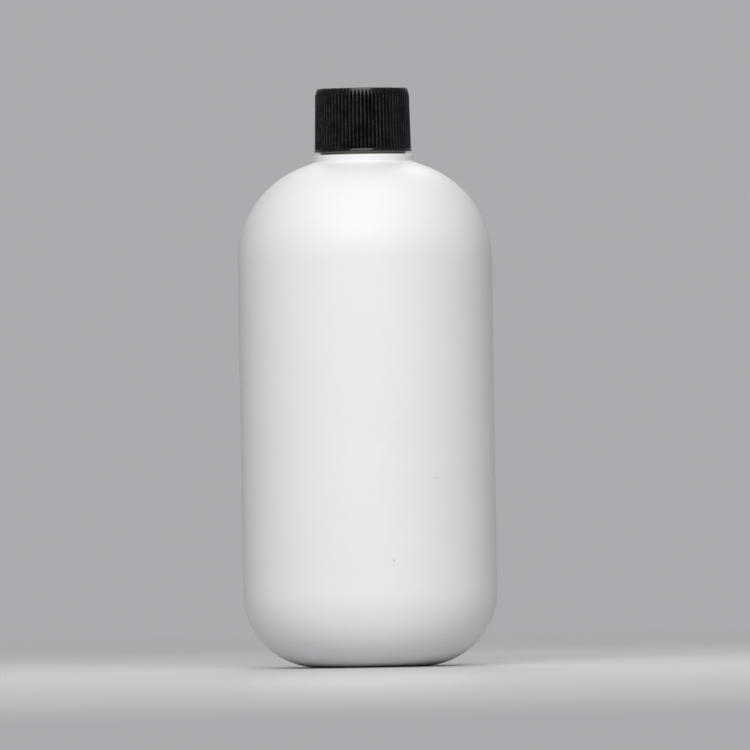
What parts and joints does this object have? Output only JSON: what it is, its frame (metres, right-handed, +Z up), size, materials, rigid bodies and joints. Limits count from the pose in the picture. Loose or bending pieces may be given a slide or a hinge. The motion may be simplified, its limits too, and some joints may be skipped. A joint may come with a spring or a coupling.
{
  "type": "lotion bottle",
  "caption": "Round-shouldered plastic lotion bottle with a ribbed screw cap and a foam sealing disc.",
  "frame": {"origin": "middle of the base, on the ground the bottle stands on", "axes": "+Z up along the bottle's axis, through the mouth and the cap; X and Y lie level"},
  "size_m": [0.072, 0.072, 0.164],
  "materials": {
    "white_shell": "satin white blown polyethylene",
    "black_cap": "black moulded polypropylene, low gloss",
    "foam_liner": "white closed-cell polyethylene foam"
  },
  "bodies": {
    "bottle": {"bottle": "white_shell"},
    "cap_lift": {"cap_liner": "foam_liner"},
    "cap": {"cap": "black_cap"}
  },
  "joints": [
    {"name": "cap_rise", "type": "slide", "parent": "bottle", "child": "cap_lift", "axis": [0, 0, 1], "range_m": [0, 0.0175]},
    {"name": "cap_turn", "type": "hinge", "parent": "cap_lift", "child": "cap", "pos_m": [0, 0, 0.155], "axis": [0, 0, 1], "range_deg": [0, 1980]}
  ],
  "couplings": [
    {"joint": "cap_rise", "follows": "cap_turn", "m_per_rad": 0.00050532}
  ]
}
